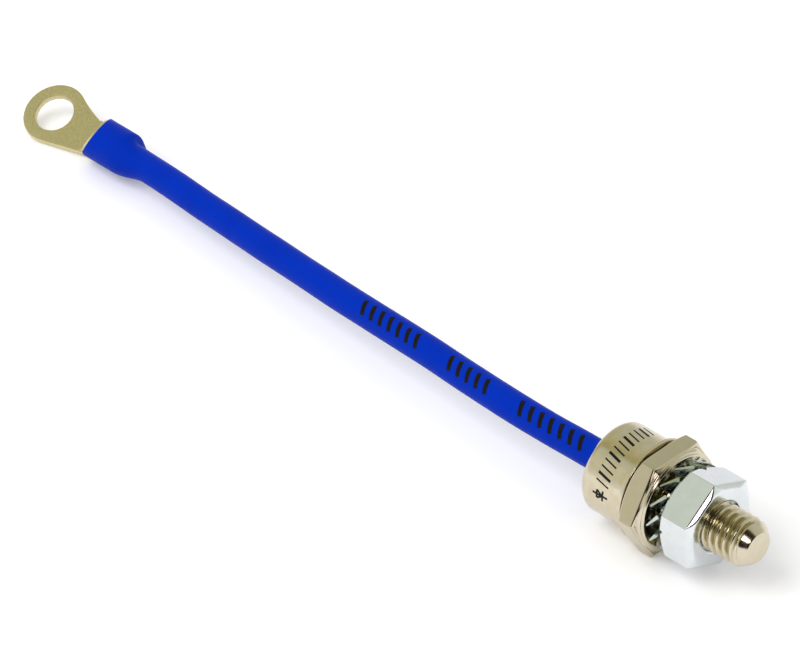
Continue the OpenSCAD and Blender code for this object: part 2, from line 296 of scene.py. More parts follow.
def zinc_plating():
    """Bright zinc plating over a cold-formed nut: bluish white, nearly mirror-like, with faint scratches."""
    material, tree, shader, place, clean = clouded(
        "zinc plated steel", METAL, (colours().zinc, "#E0E6E8", 1.6, 0.0, 0.5), (0.6, 0.08, 0.16))
    turned = add(tree, "ShaderNodeMapping", {
        "Vector": place, "Rotation": (0.4, 0.9, 0.3), "Scale": (1, 9, 9)})
    scratches = add(tree, "ShaderNodeTexNoise", {
        "Vector": turned, "Scale": per_mm(2.5), "Detail": 4.0, "Roughness": 0.7})
    add(tree, "ShaderNodeBump", {"Height": scratches, "Strength": 0.08, "Distance": 0.02 * MM},
        to=shader["Normal"])
    # Handling leaves a few short dark nicks
    nicks = add(tree, "ShaderNodeMapRange", {
        "Value": scratches, "From Min": 0.64, "From Max": 0.74, "To Max": 0.7})
    add(tree, "ShaderNodeMix", {"Factor": nicks, "A": clean, "B": linear("#828A90")},
        to=shader["Base Color"], data_type="RGBA")
    return material


def washer_zinc():
    """Zinc plating over stamped spring steel: greenish grey and smooth, with bright sheared edges."""
    return clouded("zinc plated spring steel", METAL, (colours().spring_zinc, "#B4C0B7", 0.8, 0.0, 0.6),
                   (0.4, 0.16, 0.28), grain=(0.25, 2.0, 0.08, 0.02))[0]


def heat_shrink():
    """Shrunk polyolefin tube: deep royal blue, half gloss, with the soft ripple that shrinking leaves."""
    return clouded("blue heat shrink polyolefin", {"IOR": 1.49, "Specular IOR Level": 0.035},
                   (colours().sleeve, "#0029A2", 7.0, 0.0, 0.6), (1.5, 0.34, 0.46),
                   grain=(1.8, 3.0, 0.15, 0.06))[0]


def tin_plating():
    """Matte tin plating over stamped copper: warm khaki grey, satin, with a fine grain from pressing."""
    return clouded("matte tinned copper", METAL, (colours().tin, "#D6C99E", 0.32, 0.0, 1.0, 5.0),
                   (0.5, 0.38, 0.5), grain=(0.3, 3.0, 0.18, 0.03))[0]


def bare_copper(name, roughness):
    """Bare copper: salmon red metal, dulled in spots where air has reached it."""
    return clouded(name, METAL, (colours().copper, "#9C5B3A", 0.7, 0.0, 0.7),
                   (0.4, roughness - 0.06, roughness + 0.08))[0]


def seal_glass():
    """Sealing glass fused between case and tube: dark green grey, smooth and wet-looking, tiny bubbles."""
    material, tree, shader, place = new_material("fused sealing glass", {"IOR": 1.52})
    bubbles = add(tree, "ShaderNodeTexVoronoi", {"Vector": place, "Scale": per_mm(0.5)})
    pale = add(tree, "ShaderNodeMapRange", {
        "Value": bubbles, "From Min": 0.12, "From Max": 0.2, "To Min": 0.5, "To Max": 0.0})
    add(tree, "ShaderNodeMix", {"Factor": pale, "A": linear("#2F3C39"), "B": linear("#5E6D68")},
        to=shader["Base Color"], data_type="RGBA")
    mottle(tree, place, 1.0, 0.06, 0.14, to=shader["Roughness"])
    return material


def lapped_metal(name, code, shade, roughness):
    """Lapped molybdenum or polished silicon: a grey metal face with a fine crossing grain."""
    return clouded(name, METAL, (linear(code), shade, 0.8, 0.0, 0.8),
                   (0.2, roughness - 0.05, roughness + 0.08))[0]


def silicone():
    """Cast silicone rubber over the die's edge: brick red, soft-looking and matte."""
    return clouded("cast silicone rubber", {"IOR": 1.41}, (linear("#C4563A"), "#A8452D", 0.6, 0.0, 0.7),
                   (0.5, 0.5, 0.65))[0]


def marking_ink():
    """Stamped marking ink: a thin black film, a little uneven where the stamp pressed lightly."""
    return clouded("black marking ink", {"Specular IOR Level": 0.15},
                   (colours().ink, "#1C1C20", 0.35, 0.0, 0.5), (0.3, 0.45, 0.6))[0]


# Mesh building

SHARP_FROM = math.radians(50)
CHAMFER_SLOPE = math.tan(math.radians(30))
INK_FILM, INK_STEP = 0.012 * MM, 0.15 * MM


def smooth_step(value):
    value = min(1.0, max(0.0, value))
    return value * value * (3 - 2 * value)


def shares(count):
    """Even shares from 0 to 1, both included."""
    return [k / count for k in range(count + 1)]


def full_turn(count):
    """Even angles of one turn."""
    return [math.tau * k / count for k in range(count)]


def quarter(radius, steps):
    """A quarter circle's distances from its two tangents."""
    return [(radius * (1 - math.sin(math.pi / 2 * t)), radius * (1 - math.cos(math.pi / 2 * t)))
            for t in shares(steps)]


def bow(start, corner, end, t):
    """A point on the curve from start to end that a corner pulls towards itself."""
    return (1 - t) ** 2 * start + 2 * t * (1 - t) * corner + t * t * end


def rounded(points, cut, steps=4):
    """A profile whose inner corners are curves that start one cut before them and end one cut after."""
    most, least_arm = 0.45, 1e-9
    profile = [Vector(points[0])]
    for before, corner, after in zip(points, points[1:], points[2:]):
        corner = Vector(corner)
        ends = []
        for other in (before, after):
            arm = Vector(other) - corner
            ends.append(corner + arm * min(most, cut / max(arm.length, least_arm)))
        profile += [bow(ends[0], corner, ends[1], t) for t in shares(steps)]
    return [*profile, Vector(points[-1])]


def rounded_loop(points, cut, steps=3):
    """A closed profile with all its corners rounded."""
    return rounded([points[-1], *points, points[0]], cut, steps)[1:-1]


def shaded(mesh):
    """Gives a mesh smooth shading between its sharp edges."""
    mesh.shade_smooth()
    mesh.set_sharp_from_angle(angle=SHARP_FROM)
    return mesh


def finished_mesh(shape):
    """Turns a bmesh into a smooth-shaded mesh of clean closed shells."""
    bmesh.ops.remove_doubles(shape, verts=shape.verts, dist=1e-7)
    bmesh.ops.dissolve_degenerate(shape, edges=shape.edges, dist=1e-8)
    bmesh.ops.recalc_face_normals(shape, faces=shape.faces)
    mesh = bpy.data.meshes.new("shell")
    shape.to_mesh(mesh)
    shape.free()
    return shaded(mesh)


def grid_mesh(rows, wrap_rows=False, wrap_columns=False, cap_ends=False):
    """A closed mesh from rows of points, with its doubles merged and its faces pointing outwards."""
    columns = len(rows[0])
    shape = bmesh.new()
    points = [[shape.verts.new(p) for p in row] for row in rows]
    for i in range(len(rows) if wrap_rows else len(rows) - 1):
        low, high = points[i], points[(i + 1) % len(rows)]
        for j in range(columns if wrap_columns else columns - 1):
            k = (j + 1) % columns
            shape.faces.new((low[j], low[k], high[k], high[j]))
    if cap_ends:
        shape.faces.new(points[0])
        shape.faces.new(reversed(points[-1]))
    return finished_mesh(shape)


def joined_mesh(meshes):
    """One mesh that holds several closed shells."""
    shape = bmesh.new()
    for mesh in meshes:
        shape.from_mesh(mesh)
        bpy.data.meshes.remove(mesh)
    return finished_mesh(shape)


def grown_mesh(carrier, tree, inputs):
    """Runs a node tree on an object and returns its result as a plain mesh; the object is removed."""
    modifier = carrier.modifiers.new(tree.name, "NODES")
    modifier.node_group = tree
    for item in tree.interface.items_tree:
        if item.in_out == "INPUT" and item.name in inputs:
            modifier[item.identifier] = inputs[item.name]
    graph = bpy.context.evaluated_depsgraph_get()
    mesh = bpy.data.meshes.new_from_object(carrier.evaluated_get(graph))
    carrier.modifiers.remove(modifier)
    bpy.data.objects.remove(carrier)
    return shaded(mesh)


def linked(name, mesh, material):
    """A new object at the origin with that mesh and material; the mesh takes its name."""
    piece = bpy.data.objects.new(name, mesh)
    mesh.name = name
    mesh.materials.clear()
    mesh.materials.append(material)
    bpy.context.scene.collection.objects.link(piece)
    return piece


def place_piece(name, mesh, material, slot, *nodes, even=True):
    """Adds a piece of the object, which rides on the body and stands for its solids."""
    piece = linked(name, mesh, material)
    if even:
        normals = piece.modifiers.new("Even shading", "WEIGHTED_NORMAL")
        normals.keep_sharp = True
    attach(piece, BODY)
    if nodes:
        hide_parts(*nodes)
    return piece


def about_axis(radius, x, angle):
    """A point at that radius from the stud's axis."""
    return Vector((x, radius * math.cos(angle), radius * math.sin(angle)))


def turned_mesh(profile, sides):
    """A closed profile of (radius, x) points turned about the stud's axis."""
    rows = [[about_axis(r, x, angle) for r, x in profile] for angle in full_turn(sides)]
    return grid_mesh(rows, wrap_rows=True, wrap_columns=True)


def hexagon_columns(half, corner, turn, flat_steps=12, corner_steps=6):
    """Angles around a rounded hexagon, each with the hexagon's radius there."""
    sixth = math.radians(30)
    reach = (half - corner) * math.tan(sixth)
    centre = (half - corner) / math.cos(sixth)
    edge = math.atan2(reach, half)
    columns = []
    for side in range(6):
        middle = turn + side * 2 * sixth
        for t in shares(flat_steps):
            y = reach * (2 * t - 1)
            columns.append((middle + math.atan2(y, half), math.hypot(half, y)))
        for t in shares(corner_steps)[1:-1]:
            angle = edge + 2 * (sixth - edge) * t
            off = abs(angle - sixth)
            radius = centre * math.cos(off) + math.sqrt(max(0, corner ** 2 - (centre * math.sin(off)) ** 2))
            columns.append((middle + angle, radius))
    return columns


def thread_radius(x, angle):
    """Radius of the stud's thread at a place along the stud and an angle around it."""
    size = sizes()
    # A right-hand thread moves along +X as it turns from +Y to +Z
    turn = x / size.thread_pitch - (angle + size.thread_turn) / math.tau
    # Shares of half a turn for root and flank, and the straight share of the eased flank
    root, flank, straight = 0.2, 0.72, 0.4
    rise = min(1.0, max(0.0, (abs((turn % 1) - 0.5) * 2 - root) / flank))
    return STUD_R - size.thread_depth * (1 - straight * rise - (1 - straight) * smooth_step(rise))


def ink_mesh(strokes, place, width):
    """Flat ink strokes on a surface; place turns a stroke's two coordinates and a height into a point."""
    corners = ((-1, -INK_FILM), (1, -INK_FILM), (1, INK_FILM), (-1, INK_FILM))
    bars = []
    for start, end, share in strokes:
        start, end = Vector(start), Vector(end)
        across = (end - start).normalized().orthogonal() * width * share / 2
        steps = max(2, int((end - start).length / INK_STEP))
        rows = [[place(*(start.lerp(end, t) + across * side), height) for side, height in corners]
                for t in shares(steps)]
        bars.append(grid_mesh(rows, wrap_columns=True, cap_ends=True))
    return joined_mesh(bars)


# The lead's centreline and sleeve

SLEEVE_START = CASE_LOW.x - 0.4 * MM
SLEEVE_WALL = 0.42 * MM
RIM_BACK = 0.5 * MM
BARREL_LENGTH = 8 * MM
MOUTH_SLANT = math.tan(math.radians(33))
TUBE_OUT_R = TUBE_HIGH.z
UP = Vector((0, 0, 1))


class Centreline:
    """A smooth curve through the route's points, read by its length from the start."""

    # Heading is taken over this many points on either side
    reach = 6

    def __init__(self, points, step=0.25 * MM):
        ends = [2 * points[0] - points[1], *points, 2 * points[-1] - points[-2]]
        dense = []
        for a, b, c, d in zip(ends, ends[1:], ends[2:], ends[3:]):
            for t in shares(max(2, int((c - b).length / step)))[:-1]:
                dense.append(0.5 * (2 * b + (c - a) * t + (2 * a - 5 * b + 4 * c - d) * t ** 2
                                    + (3 * b - a - 3 * c + d) * t ** 3))
        self.points = [*dense, points[-1]]
        self.places = [0.0]
        for a, b in zip(self.points, self.points[1:]):
            self.places.append(self.places[-1] + (b - a).length)
        self.length = self.places[-1]

    def at(self, place):
        """The point, the heading and the two across directions at that length."""
        points, places = self.points, self.places
        place = min(self.length, max(0.0, place))
        low, high = 0, len(places) - 1
        while high - low > 1:
            middle = (low + high) // 2
            low, high = (middle, high) if places[middle] <= place else (low, middle)
        share = (place - places[low]) / max(1e-12, places[high] - places[low])
        point = points[low] + (points[high] - points[low]) * share
        before, after = points[max(0, low - self.reach)], points[min(len(points) - 1, high + self.reach)]
        heading = (after - before).normalized()
        side = UP.cross(heading).normalized()
        return point, heading, side, heading.cross(side)


def lead_line(start):
    """The lead's centreline from a place on the stud's axis to the end of its route."""
    return Centreline([Vector((start, 0, 0)), *ROUTE])


def terminal_turn():
    """Turn of the terminal about the lead, from its ring's normal in the frame."""
    normal = Vector(HOLE["axis"])
    side = UP.cross(BARREL_DIR).normalized()
    return math.atan2(normal.dot(side), normal.dot(BARREL_DIR.cross(side)))


def sleeve_radius(line, place, angle):
    """Outer radius of the sleeve at a length along the lead and an angle around it."""
    size = sizes()
    share = place / line.length
    radius = (size.sleeve_near * (1 - share) + size.sleeve_far * share) / 2
    # Shrinking leaves slow waves along the tube
    wave_length, spread, wave_height, swollen_height = 9 * MM, 0.6, 0.05 * MM, 0.04 * MM
    wave = noise.noise(Vector((place / wave_length, math.cos(angle) * spread, math.sin(angle) * spread)))
    radius += wave_height * wave
    # It is wider where it grips the metal tube at the case
    grip_end, grip_fade, slack = SLEEVE_START - TUBE_LOW.x - 0.2 * MM, 1.4 * MM, 0.06 * MM
    grip = 1 - smooth_step((place - grip_end) / grip_fade)
    radius = max(radius, radius + (TUBE_OUT_R + SLEEVE_WALL + slack - radius) * grip)
    # The swell is a short shoulder on the upper far side and a long taper on the lower near side
    shoulder_at, shortest, longest, before_barrel = math.radians(135), 1.6 * MM, 7.0 * MM, 0.9
    upper = (1 + math.cos(angle - shoulder_at)) / 2
    taper = shortest + (longest - shortest) * (1 - upper ** 3)
    swell_start = line.length - BARREL_LENGTH - taper * before_barrel
    swollen = size.sleeve_swell / 2 + swollen_height * wave
    return radius + (swollen - radius) * smooth_step((place - swell_start) / taper)


def sleeve_point(line, place, angle, height):
    """A point at that height above the sleeve's skin."""
    point, heading, side, up = line.at(place)
    across = math.cos(angle) * side + math.sin(angle) * up
    return point + across * (sleeve_radius(line, place, angle) + height)


# Operators


class STUDDIODE_OT_stage(bpy.types.Operator):
    """Sets the camera, the lamp, the world and the floor"""

    bl_idname = "stud_diode.stage"
    bl_label = "Stage"

    def execute(self, context):
        self.camera(context.scene)
        self.softbox(context.scene)
        self.world(context.scene)
        self.floor()
        context.scene.view_settings.view_transform = "Standard"
        return {"FINISHED"}

    def camera(self, scene):
        """A long lens at the photograph's angle; the offsets centre the picture on the same point."""
        azimuth, elevation = math.radians(44.213), math.radians(36.315)
        distance, aside, above = 1000 * MM, -41.474 * MM, 25.984 * MM
        seat = Vector((-1.05 * MM, 0, 0))
        right = Vector((math.cos(azimuth), math.sin(azimuth), 0))
        level = math.cos(elevation)
        back = Vector((math.sin(azimuth) * level, -math.cos(azimuth) * level, math.sin(elevation)))
        up = back.cross(right)
        data = bpy.data.cameras.new("camera")
        data.sensor_width = 36
        data.lens = 297.13
        data.clip_start = 50 * MM
        camera = bpy.data.objects.new("camera", data)
        turn = Matrix((right, up, back)).transposed().to_4x4()
        camera.matrix_world = Matrix.Translation(seat + back * distance + right * aside + up * above) @ turn
        scene.collection.objects.link(camera)
        scene.camera = camera

    def softbox(self, scene):
        """One broad softbox above the near side, for a soft shadow."""
        place, aim = Vector((-0.25, -0.5, 0.75)), Vector((-0.06, 0, 0))
        data = bpy.data.lights.new("softbox", "AREA")
        data.size = 0.6
        data.energy = 4.2
        lamp = bpy.data.objects.new("softbox", data)
        lamp.location = place
        lamp.rotation_mode = "QUATERNION"
        lamp.rotation_quaternion = (aim - place).to_track_quat("-Z", "Y")
        lamp.visible_glossy = False
        scene.collection.objects.link(lamp)

    def world(self, scene):
        """White for the camera, an even fill for matte surfaces, and a tent with one dark side for metal."""
        world = bpy.data.worlds.new("studio")
        scene.world = world
        world.use_nodes = True
        tree = world.node_tree
        tree.nodes.clear()
        way = add(tree, "ShaderNodeTexCoord").outputs["Generated"]
        axes = add(tree, "ShaderNodeSeparateXYZ", {"Vector": way}).outputs
        # The tent's panels from the near side to the far side, with a darker gap overhead
        across = add(tree, "ShaderNodeMapRange", {"Value": axes["Y"], "From Min": -1.0})
        sky = add(tree, "ShaderNodeValToRGB", {"Fac": across})
        stops = sky.color_ramp.elements
        for y, code in ((-0.8, "#DCDDC9"), (-0.66, "#E3E3D2"), (-0.48, "#D4D8C8"), (-0.36, "#CFD4C6"),
                        (-0.22, "#ACAB79"), (-0.1, "#BDBA92"), (0.06, "#C4C19E"), (0.34, "#C9C9B4"),
                        (0.6, "#C9CDBD"), (0.75, "#CCCEC3")):
            stops.new((y + 1) / 2).color = linear(code)
        stops.remove(stops[0])
        stops.remove(stops[-1])
        # The tent is white near the floor, its open side is dark, and one round lamp stands in that side
        open_side, lamp = (add(tree, "ShaderNodeVectorMath", {0: way, 1: aim}, operation="DOT_PRODUCT")
                           for aim in ((0.72, -0.42, 0.55), (0.65, -0.45, 0.61)))
        for measure, start, end, code in (
                (axes["Z"], 0.3, 0.05, "#EFEFEF"), (open_side, 0.68, 0.80, "#2A221B"),
                (lamp, 0.982, 0.989, "#FFF6F0")):
            inside = add(tree, "ShaderNodeMapRange", {
                "Value": measure, "From Min": start, "From Max": end}, interpolation_type="SMOOTHSTEP")
            sky = add(tree, "ShaderNodeMix", {
                "Factor": inside, "A": sky, "B": linear(code)}, data_type="RGBA")
        lamp_glow = add(tree, "ShaderNodeMath", {0: inside, 1: 5.0, 2: 1.0}, operation="MULTIPLY_ADD")
        ray = add(tree, "ShaderNodeLightPath").outputs
        fill = add(tree, "ShaderNodeBackground", {"Color": linear("#FFFFFF"), "Strength": 0.78})
        tent = add(tree, "ShaderNodeBackground", {"Color": sky, "Strength": lamp_glow})
        white = add(tree, "ShaderNodeBackground", {"Color": linear("#FFFFFF"), "Strength": 1.0})
        lit = add(tree, "ShaderNodeMixShader", {0: ray["Is Glossy Ray"], 1: fill, 2: tent})
        shown = add(tree, "ShaderNodeMixShader", {0: ray["Is Camera Ray"], 1: lit, 2: white})
        add(tree, "ShaderNodeOutputWorld", {"Surface": shown})

    def floor(self):
        """A pale board that the part lies on; it keeps the shadow and looks white to camera and metal."""
        half, level = 3.0, BASE_LOW.z
        corners = [(x * half, y * half, level) for x, y in ((-1, -1), (1, -1), (1, 1), (-1, 1))]
        mesh = bpy.data.meshes.new("floor")
        mesh.from_pydata(corners, [], [(0, 1, 2, 3)])
        material, tree, shader, place = new_material("white board", {
            "Roughness": 0.9, "Specular IOR Level": 0.0, "Emission Color": linear("#FFFFFF")})
        add(tree, "ShaderNodeMix", {
            "Factor": mottle(tree, place, 40.0, 0.0, 1.0), "A": linear("#EFEFEF"), "B": linear("#F1F1F1")},
            to=shader["Base Color"], data_type="RGBA")
        # A little glow makes the board white, and metal shows half of it
        ray = add(tree, "ShaderNodeLightPath").outputs
        mirrored = add(tree, "ShaderNodeMath", {
            0: ray["Is Glossy Ray"], 1: ray["Is Transmission Ray"]}, operation="MAXIMUM")
        shown = add(tree, "ShaderNodeMath", {
            0: mirrored, 1: 0.5, 2: ray["Is Camera Ray"]}, operation="MULTIPLY_ADD")
        add(tree, "ShaderNodeMath", {0: shown, 1: 0.16}, to=shader["Emission Strength"], operation="MULTIPLY")
        linked("floor", mesh, material)


class STUDDIODE_OT_lead(bpy.types.Operator):
    bl_idname = "stud_diode.lead"
    bl_label = "Sleeved lead"

    rim = 0.1 * MM
    lean_length = 4.5 * MM
    swell_length = 9 * MM
    coarse_step, fine_step, strand_step = 0.6 * MM, 0.25 * MM, 2 * MM
    strand_short = 1.6 * MM
    lay_length = 45 * MM

    def execute(self, context):
        line = lead_line(SLEEVE_START)
        sleeve = self.sleeve(line)
        strands = self.strands()
        marks = self.marks(line)
        path = [line.at(line.length * t)[0] for t in shares(60)]
        return {"FINISHED"}

    def sleeve(self, line):
        """A tube with its own wall; its far rim leans as the barrel's mouth does."""
        turn, end, rim = terminal_turn(), line.length - RIM_BACK, self.rim
        fine_from = line.length - BARREL_LENGTH - self.swell_length
        places = [self.coarse_step * k for k in range(int(fine_from / self.coarse_step))]
        places += [fine_from + (end - fine_from) * t for t in shares(int((end - fine_from) / self.fine_step))]

        def row(place, inset):
            point, heading, side, up = line.at(place)
            lean = smooth_step(1 - (end - place) / self.lean_length) * MOUTH_SLANT
            ring = []
            for angle in full_turn(64):
                radius = sleeve_radius(line, place, angle) - inset
                across = math.cos(angle) * side + math.sin(angle) * up
                back = lean * radius * max(0, math.sin(angle + turn))
                ring.append(point + across * radius - heading * back)
            return ring

        rows = [row(0.0, rim), *[row(p, 0.0) for p in places[1:-1]], row(end - rim, 0.0), row(end, rim),
                row(end, SLEEVE_WALL - rim), *[row(p, SLEEVE_WALL) for p in reversed(places[1:-1])],
                row(0.0, SLEEVE_WALL - rim)]
        mesh = grid_mesh(rows, wrap_rows=True, wrap_columns=True)
        return place_piece("blue_sleeve", mesh, heat_shrink(), "blue_heat_shrink", "insulating_sleeve",
                           even=False)

    def marks(self, line):
        """Groups of slanted bars printed along the sleeve."""
        bar, width, pitch, slant = 2.6 * MM, 0.8 * MM, 2.1 * MM, 1.1 * MM
        middle, radius = math.radians(57), sizes().sleeve_near / 2
        strokes = []
        for start, count in ((5.0 * MM, 7), (25.5 * MM, 5), (42.0 * MM, 7)):
            for k in range(count):
                along = start + pitch * k
                strokes.append(((along - slant / 2, -bar / 2), (along + slant / 2, bar / 2), 1.0))

        def place(along, around, height):
            return sleeve_point(line, along, middle + around / radius, height)

        return place_piece("sleeve_marks", ink_mesh(strokes, place, width), marking_ink(), "blue_heat_shrink",
                           even=False)

    def strands(self):
        """Copper strands laid in rings around a middle one, swept along the lead by a node tree."""
        line = lead_line(CONDUCTOR_HIGH.x)
        length = line.length - self.strand_short
        count = int(length / self.strand_step)
        points = [line.at(length * t)[0] for t in shares(count)]
        path = bpy.data.meshes.new("strand_path")
        path.from_pydata(points, [(k, k + 1) for k in range(count)], [])
        material = bare_copper("drawn copper strand", 0.32)
        carrier = linked("strand_path", path, material)
        rings = sizes().strand_rings
        inputs = {"Strand Radius": CONDUCTOR_HIGH.z / (2 * rings + 1), "Lay Length": self.lay_length,
                  "Material": material}
        mesh = grown_mesh(carrier, self.strand_tree(rings), inputs)
        return place_piece("copper_strands", mesh, material, "copper", "lead_conductor", even=False)

    def strand_tree(self, rings):
        """Node tree: a profile of small circles in rings, swept along a path that turns as it goes."""
        tree, given = new_tree("Strand lay", {
            "Path": "Geometry", "Strand Radius": "Float", "Lay Length": "Float", "Material": "Material"})
        radius = given["Strand Radius"]
        spots = [add(tree, "GeometryNodeMeshLine", {"Count": 1})]
        for ring in range(1, rings + 1):
            reach = add(tree, "ShaderNodeMath", {0: radius, 1: 2.0 * ring}, operation="MULTIPLY")
            spots.append(add(tree, "GeometryNodeMeshCircle", {"Vertices": 6 * ring, "Radius": reach}))
        lattice = add(tree, "GeometryNodeJoinGeometry", {"Geometry": spots})
        wire = add(tree, "GeometryNodeCurvePrimitiveCircle", {"Resolution": 8, "Radius": radius})
        bundle = add(tree, "GeometryNodeInstanceOnPoints", {"Points": lattice, "Instance": wire})
        profile = add(tree, "GeometryNodeRealizeInstances", {"Geometry": bundle})
        curve = add(tree, "GeometryNodeMeshToCurve", {"Mesh": given["Path"]})
        along = add(tree, "GeometryNodeSplineParameter").outputs["Length"]
        share = add(tree, "ShaderNodeMath", {0: along, 1: given["Lay Length"]}, operation="DIVIDE")
        turn = add(tree, "ShaderNodeMath", {0: share, 1: math.tau}, operation="MULTIPLY")
        twisted = add(tree, "GeometryNodeSetCurveTilt", {"Curve": curve, "Tilt": turn})
        swept = add(tree, "GeometryNodeCurveToMesh", {
            "Curve": twisted, "Profile Curve": profile, "Fill Caps": True})
        return close_tree(tree, swept, given["Material"])


class STUDDIODE_OT_terminal(bpy.types.Operator):
    """Makes the ring terminal: barrel, flared neck and ring tongue"""

    bl_idname = "stud_diode.terminal"
    bl_label = "Ring terminal"

    strip = HOLE["dims"]["length_mm"] * MM
    bore_r = 2.1 * MM
    ring_r = 5.45 * MM
    neck = 5.4 * MM
    neck_gap = 0.1 * MM
    neck_bend = 0.45
    side_hollow = math.radians(9)
    edge = 0.14 * MM

    def execute(self, context):
        mesh = joined_mesh([self.barrel(), self.flare(), self.tongue()])
        mesh.transform(self.barrel_frame())
        place_piece("ring_lug", mesh, tin_plating(), "tinned_copper", "ring_terminal")
        return {"FINISHED"}

    def barrel_frame(self):
        """The barrel's own frame: X towards the ring, Z out of the ring's upper side."""
        side = Vector(HOLE["axis"]).cross(BARREL_DIR).normalized()
        turn = Matrix((BARREL_DIR, side, BARREL_DIR.cross(side))).transposed().to_4x4()
        return Matrix.Translation(ROUTE[-1]) @ turn

    def bend(self):
        """Slope of the tongue against the barrel's axis."""
        return math.asin(-Vector(HOLE["axis"]).dot(BARREL_DIR))

    def reach(self):
        """Distance along the tongue from the barrel to the hole's centre."""
        hole = self.barrel_frame().inverted() @ Vector(HOLE["pos_m"])
        slope = self.bend()
        return hole.x * math.cos(slope) + (hole.z + self.bore_r + self.strip) * math.sin(slope)

    def barrel(self):
        """A rolled tube whose mouth is cut on a slant above the axis."""
        outer, inner = self.bore_r + self.strip, self.bore_r
        loop = rounded_loop(
            [(inner, -BARREL_LENGTH), (outer, -BARREL_LENGTH), (outer, 0), (inner, 0)], self.edge)
        rows = []
        for angle in full_turn(96):
            slant = MOUTH_SLANT * max(0, math.sin(angle))
            rows.append([about_axis(r, x - (1 + x / BARREL_LENGTH) * slant * r, angle) for r, x in loop])
        return grid_mesh(rows, wrap_rows=True, wrap_columns=True)

    def outline(self):
        """Points around the tongue with their outward directions: neck, sides and ring."""
        reach, half = self.reach(), self.neck / 2
        straight = math.acos(self.ring_r / math.hypot(reach, half)) + math.atan2(half, reach)
        hollow = straight - self.side_hollow

        def edge(side, sign):
            """One side of the neck, from the barrel to where it runs into the ring."""
            touch = Vector((reach - self.ring_r * math.cos(side), self.ring_r * math.sin(side)))
            corner = Vector((self.neck_gap, half))
            back = Vector((-math.sin(side), -math.cos(side))) * (touch - corner).length * self.neck_bend
            out = Vector((-math.cos(side), sign * math.sin(side)))
            curve = [bow(corner, touch + back, touch, t) for t in shares(12)]
            return [(Vector((point.x, sign * point.y)), out) for point in curve]

        points = edge(straight, 1)
        for t in shares(72)[1:-1]:
            angle = math.pi - straight - (math.tau - straight - hollow) * t
            way = Vector((math.cos(angle), math.sin(angle)))
            points.append((Vector((reach, 0)) + self.ring_r * way, way))
        points += edge(hollow, -1)[::-1]
        for t in shares(6)[1:-1]:
            points.append((Vector((self.neck_gap, -half + self.neck * t)), Vector((-1, 0))))
        return points

    def tongue(self):
        """The flat tongue with rounded edges and a deburred hole."""
        centre = Vector((self.reach(), 0))
        hole_r, top = HOLE["dims"]["r_mm"] * MM, self.strip
        arc = quarter(self.edge, 3)
        rows = []
        for point, out in self.outline():
            way = (point - centre).normalized()
            rim = [(point - out * inset, drop) for drop, inset in arc]
            lip = [(centre + way * (hole_r + inset), drop) for drop, inset in arc]
            row = [(p, top - drop) for p, drop in reversed(rim)] + [(p, drop) for p, drop in rim]
            row += [(p, drop) for p, drop in reversed(lip)] + [(p, top - drop) for p, drop in lip]
            rows.append([(p.x, p.y, h) for p, h in row])
        mesh = grid_mesh(rows, wrap_rows=True, wrap_columns=True)
        tilt = Matrix.Rotation(-self.bend(), 4, "Y")
        mesh.transform(Matrix.Translation((0, 0, -self.bore_r - self.strip)) @ tilt)
        return mesh

    def flare(self):
        """The neck that opens from the barrel's lower half to the flat tongue."""
        middle_r, half_strip = self.bore_r + self.strip / 2, self.strip / 2
        start, end, spread = -0.5 * MM, 2.6 * MM, math.radians(72)
        widening, slope = 0.27, math.tan(self.bend())
        # The strip is a little thinner than the tongue, most at its edges
        inner_share, edge_share = 0.96, 0.75
        rows = []
        for t in shares(14):
            x, flat = start + (end - start) * t, smooth_step(t)
            half = self.neck / 2 + widening * max(0, x)
            upper, lower = [], []
            for w in (2 * s - 1 for s in shares(24)):
                turn = spread * w
                arc = Vector((0, middle_r * math.sin(turn), -middle_r * math.cos(turn)))
                plane = Vector((0, half * w, -middle_r + slope * x))
                out = Vector((0, math.sin(turn) * (1 - flat), -math.cos(turn * (1 - flat)))).normalized()
                point = arc.lerp(plane, flat) + Vector((x, 0, 0))
                thin = half_strip * (inner_share if abs(w) < 1 else edge_share)
                upper.append(point - out * thin)
                lower.append(point + out * thin)
            rows.append(upper + lower[::-1])
        return grid_mesh(rows, wrap_columns=True, cap_ends=True)


